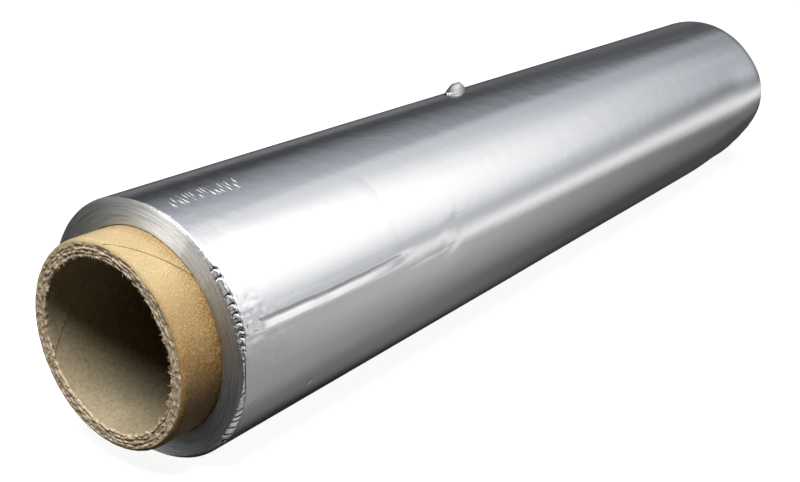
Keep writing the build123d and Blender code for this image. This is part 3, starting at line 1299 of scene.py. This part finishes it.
class FOILROLL_OT_rim_tabs(bpy.types.Operator):
    """Make the small tabs and flaps that the cutter left along the near rim"""

    bl_idname = "foilroll.rim_tabs"
    bl_label = "Rim Tabs"

    def execute(self, context):
        sizes = context.scene.foil_roll_foil
        rng = np.random.default_rng(sizes.seed + 51)
        top = rng.uniform(94.0, 134.0, 16)
        below = rng.uniform(176.0, 198.0, 5)
        angles = np.concatenate((top, np.array(FRONT_SLITS[1:-1]) + 1.1, below))
        # on top the end face reaches further out
        radius = rng.uniform(28.0, 28.6, len(angles)) + np.where(angles < 134.5, 0.75, 0.0)
        spots = on_roll(rng.uniform(0.1, 0.7, len(angles)), angles, radius)
        values = {
            "Long": 0.0010,
            "Wide": 0.0007,
            "Thick": 0.00004,
            "Height": AXIS_HEIGHT,
            "Lean": math.radians(48),
            "Uneven": 0.45,
            "Turn Uneven": 0.54,
            "Seed": sizes.seed,
            "Finish": foil_skin_material(),
        }
        grow_piece("rim_tabs", "foil", sliver_scatter(), values, spots)
        return {"FINISHED"}


class FOILROLL_OT_wrinkle_row(bpy.types.Operator):
    """Make the row of short slanting wrinkles near the near end"""

    bl_idname = "foilroll.wrinkle_row"
    bl_label = "Wrinkle Row"

    def execute(self, context):
        sizes = context.scene.foil_roll_foil
        count = 18
        rng = np.random.default_rng(sizes.seed + 61)
        (first_x, first_angle), (last_x, last_angle) = WRINKLE_ROW
        x = np.linspace(first_x, last_x, count) + rng.uniform(-0.22, 0.22, count)
        angle = np.linspace(first_angle, last_angle, count) + rng.uniform(-0.45, 0.45, count)
        spots = on_roll(x, angle, skin_radius(x, angle, sizes) - 0.03)
        values = {
            "Long": 0.0056,
            "Wide": 0.00038,
            "Thick": 0.00014,
            "Height": AXIS_HEIGHT,
            "Lean": 0.0,
            "Slant": math.radians(90),
            "Uneven": 0.15,
            "Turn Uneven": math.radians(2.5),
            "Seed": sizes.seed + 3,
            "Finish": foil_skin_material(),
        }
        grow_piece("wrinkle_row", "foil", sliver_scatter(), values, spots)
        return {"FINISHED"}


class FOILROLL_OT_tube(bpy.types.Operator):
    """Make the spiral-wound cardboard tube with its frayed ends and seams"""

    bl_idname = "foilroll.tube"
    bl_label = "Cardboard Tube"

    def execute(self, context):
        points, finish = tube_surface(context.scene.foil_roll_tube)
        finishes = (kraft_material(), board_material(), cut_board_material(), seam_material())
        faces = ring_faces(*finish.shape)
        made = make_object("cardboard_tube", points.reshape(-1, 3), faces, finishes, finish.ravel())
        finish_piece(made, "core_board", "cardboard_core")
        return {"FINISHED"}


class FOILROLL_OT_fibres(bpy.types.Operator):
    """Scatter loose fibres over the tube's cut ends"""

    bl_idname = "foilroll.fibres"
    bl_label = "Loose Fibres"

    def execute(self, context):
        sizes = context.scene.foil_roll_tube
        count = sizes.fibre_count
        inner, outer = BORE_RADIUS + 0.05, TUBE_RADIUS - 0.9
        for name, x, seed in (
            ("near_fibres", -STANDOUT, 5),
            ("far_fibres", WIDTH + STANDOUT, 6),
        ):
            rng = np.random.default_rng(seed)
            angle = rng.uniform(0.0, 360.0, count)
            # nearly half of them hang at the bore's mouth
            at_mouth = rng.random(count) < 0.45
            mouth, face = rng.normal(inner + 0.12, 0.12, count), rng.uniform(inner, outer, count)
            spots = on_roll(np.full(count, x), angle, np.where(at_mouth, mouth, face))
            values = {
                "Long": sizes.fibre_length,
                "Wide": 0.00007,
                "Thick": 0.00007,
                "Height": AXIS_HEIGHT,
                "Lean": math.radians(80),
                "Slant": math.radians(35),
                "Uneven": 1.0,
                "Turn Uneven": 1.2,
                "Seed": seed,
                "Finish": cut_board_material(),
            }
            grow_piece(name, "core_board", sliver_scatter(), values, spots)
        return {"FINISHED"}


# The studio


def light_card():
    """Group: how much a soft card of light adds in one direction, as seen from the roll."""
    sides = []
    for way, low, high in (("Round", -10.0, 10.0), ("Up", 0.0, 45.0)):
        sides.extend([(f"{way} From", "Float", low), (f"{way} To", "Float", high)])
    tree, given, result = group_tree(
        "light_card",
        [
            ("Round", "Float", 0.0),
            ("Up", "Float", 0.0),
            *sides,
            ("Round Softness", "Float", 5.0),
            ("Up Softness", "Float", 5.0),
            ("Level", "Float", 1.0),
        ],
        [("Level", "Float")],
    )
    level = given["Level"]
    for way in ("Round", "Up"):
        half = maths(tree, "MULTIPLY", given[f"{way} Softness"], 0.5)
        for edge, first, last in ((given[f"{way} From"], 0.0, 1.0), (given[f"{way} To"], 1.0, 0.0)):
            low, high = maths(tree, "SUBTRACT", edge, half), maths(tree, "ADD", edge, half)
            side = ramp(tree, given[way], low, high, first, last, "SMOOTHSTEP")
            level = maths(tree, "MULTIPLY", level, side)
    tree.links.new(level, result["Level"])
    return tree


def surround_material():
    """The tent round the table: dark, with soft cards of light. Only the metal sees it."""
    material = bpy.data.materials.new("studio_surround")
    tree = emptied(material)
    material.cycles.emission_sampling = "NONE"
    place = add(tree, "ShaderNodeTexCoord").outputs["Object"]
    way = add(tree, "ShaderNodeVectorMath", {0: place}, operation="NORMALIZE").outputs[0]
    parts = add(tree, "ShaderNodeSeparateXYZ", {0: way}).outputs
    round_way = maths(tree, "DEGREES", maths(tree, "ARCTAN2", parts["Y"], parts["X"]))
    up = maths(tree, "DEGREES", maths(tree, "ARCSINE", parts["Z"]))
    group = light_card()
    level = SURROUND_LEVEL
    for name, *values in LIGHT_CARDS:
        card = add(tree, "ShaderNodeGroup", node_tree=group, label=name)
        tree.links.new(round_way, card.inputs["Round"])
        tree.links.new(up, card.inputs["Up"])
        for socket, value in zip(list(card.inputs)[2:], values):
            socket.default_value = value
        level = maths(tree, "ADD", level, card.outputs[0])
    # the light is a little blue, but neutral low down, on the camera's side and where it is bright
    neutral = maths(tree, "MULTIPLY", level, level, clamp=True)
    neutral = maths(tree, "MAXIMUM", ramp(tree, up, 12.0, -6.0), neutral)
    neutral = maths(tree, "MAXIMUM", ramp(tree, round_way, -88.0, -108.0), neutral)
    colour = mix(tree, neutral, (0.92, 0.965, 1.06, 1.0), WHITE)
    light = add(tree, "ShaderNodeEmission", {"Color": colour, "Strength": level})
    add(tree, "ShaderNodeOutputMaterial", {"Surface": light.outputs[0]})
    return material


def shown(tree):
    """One for rays that show the backdrop itself, nought for those that light things."""
    path = add(tree, "ShaderNodeLightPath").outputs
    mirrored = maths(tree, "MAXIMUM", path["Is Camera Ray"], path["Is Glossy Ray"])
    return maths(tree, "MAXIMUM", mirrored, path["Is Transmission Ray"])


def studio_world(ambient):
    """A white backdrop that sheds only a weak warm light."""
    world = bpy.data.worlds.new("studio")
    tree = emptied(world)
    mask = shown(tree)
    level = add(tree, "ShaderNodeMix", {0: mask, 2: ambient, 3: 1.0}).outputs[0]
    colour = mix(tree, mask, (1.0, 0.86, 0.68, 1.0), WHITE)
    light = add(tree, "ShaderNodeBackground", {"Color": colour, "Strength": level})
    add(tree, "ShaderNodeOutputWorld", {"Surface": light.outputs[0]})
    return world


def floor_material():
    """A pale floor that runs out to white, and keeps the roll's shadow."""
    material = bpy.data.materials.new("pale_floor")
    tree = emptied(material)
    material.cycles.emission_sampling = "NONE"
    mask = shown(tree)
    matt = add(tree, "ShaderNodeBsdfDiffuse", {"Color": maths(tree, "MULTIPLY_ADD", mask, 0.37, 0.03)})
    place = add(tree, "ShaderNodeTexCoord").outputs["Object"]
    far = add(tree, "ShaderNodeVectorMath", {0: place}, operation="LENGTH").outputs["Value"]
    strength = maths(tree, "MULTIPLY", mask, ramp(tree, far, 0.1, 0.6, 0.90, 1.0))
    glow = add(tree, "ShaderNodeEmission", {"Color": WHITE, "Strength": strength})
    both = add(tree, "ShaderNodeAddShader", {0: matt.outputs[0], 1: glow.outputs[0]})
    add(tree, "ShaderNodeOutputMaterial", {"Surface": both.outputs[0]})
    return material


def surround_mesh(radius):
    """A tent's points and faces, seen from inside."""
    rings, columns = 24, 48
    turn = np.linspace(0.0, 2 * math.pi, columns, endpoint=False)[None, :]
    rise = np.linspace(-math.pi / 2 + 0.01, math.pi / 2 - 0.01, rings)[:, None]
    ways = np.broadcast_arrays(np.cos(rise) * np.cos(turn), np.cos(rise) * np.sin(turn), np.sin(rise))
    return np.stack(ways, -1).reshape(-1, 3) * radius, ring_faces(rings, columns, joined=False)[:, ::-1]


def area_light(name, place, aim, size, power):
    """A square lamp that shines from a place at an aim, and that metal doesn't mirror."""
    light = bpy.data.lights.new(name, "AREA")
    light.shape = "SQUARE"
    light.size = size
    light.energy = power
    made = bpy.data.objects.new(name, light)
    made.location = place
    made.rotation_euler = (Vector(aim) - Vector(place)).to_track_quat("-Z", "Y").to_euler()
    made.visible_glossy = False
    bpy.context.scene.collection.objects.link(made)


def make_camera(lens):
    """The camera at the photograph's viewing angle."""
    camera = bpy.data.cameras.new("camera")
    camera.lens = lens
    camera.sensor_width = 36.0
    camera.clip_start = 0.01
    camera.clip_end = 100.0
    made = bpy.data.objects.new("camera", camera)
    x, y, z = CAMERA_FROM_NEAR_END
    made.location = (NEAR_X + x, y, AXIS_HEIGHT + z)
    made.rotation_euler = Vector(CAMERA_DIRECTION).to_track_quat("-Z", "Y").to_euler()
    bpy.context.scene.collection.objects.link(made)
    return made


class FOILROLL_OT_stage(bpy.types.Operator):
    """Set up the floor, the lights and the camera"""

    bl_idname = "foilroll.stage"
    bl_label = "Studio"

    def execute(self, context):
        scene = context.scene
        studio = scene.foil_roll_studio
        side = FLOOR_REACH
        corners = ((-side, -side, 0.0), (side, -side, 0.0), (side, side, 0.0), (-side, side, 0.0))
        floor = make_object("floor", corners, ((0, 1, 2, 3),), (floor_material(),))
        floor.location.z = -0.00005
        floor.visible_glossy = False
        surround = make_object("studio_surround", *surround_mesh(TENT_RADIUS), (surround_material(),))
        surround.location.z = AXIS_HEIGHT
        for ray in ("camera", "diffuse", "shadow", "transmission", "volume_scatter"):
            setattr(surround, f"visible_{ray}", False)
        scene.world = studio_world(studio.ambient)
        area_light("overhead_softbox", LAMP_PLACE, LAMP_AIM, LAMP_SIDE, studio.key_power)
        scene.camera = make_camera(studio.lens)
        scene.view_settings.view_transform = "Standard"
        return {"FINISHED"}


# The add-on


class FOILROLL_PT_panel(bpy.types.Panel):
    """The roll's pieces and their sizes"""

    bl_idname = "FOILROLL_PT_panel"
    bl_label = "Foil Roll"
    bl_space_type = "VIEW_3D"
    bl_region_type = "UI"
    bl_category = "Foil Roll"

    def draw(self, context):
        for group, _ in GROUPS:
            box = self.layout.box()
            settings = getattr(context.scene, group)
            for name in settings.__annotations__:
                box.prop(settings, name)
        for operator in OPERATORS:
            self.layout.operator(operator.bl_idname)


GROUPS = (
    ("foil_roll_foil", FoilSizes),
    ("foil_roll_tube", TubeSizes),
    ("foil_roll_finishes", Finishes),
    ("foil_roll_studio", Studio),
)
OPERATORS = (
    FOILROLL_OT_stage,
    FOILROLL_OT_wound_body,
    FOILROLL_OT_free_edge,
    FOILROLL_OT_turn_edges,
    FOILROLL_OT_rim_tabs,
    FOILROLL_OT_wrinkle_row,
    FOILROLL_OT_tube,
    FOILROLL_OT_fibres,
)


def register():
    for name, group in GROUPS:
        bpy.utils.register_class(group)
        setattr(bpy.types.Scene, name, PointerProperty(type=group))
    for operator in OPERATORS:
        bpy.utils.register_class(operator)
    bpy.utils.register_class(FOILROLL_PT_panel)


def unregister():
    bpy.utils.unregister_class(FOILROLL_PT_panel)
    for operator in reversed(OPERATORS):
        bpy.utils.unregister_class(operator)
    for name, group in reversed(GROUPS):
        delattr(bpy.types.Scene, name)
        bpy.utils.unregister_class(group)


def main():
    register()
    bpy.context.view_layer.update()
    for operator in OPERATORS:
        area, name = operator.bl_idname.split(".")
        getattr(getattr(bpy.ops, area), name)()


if __name__ == "__main__":
    main()
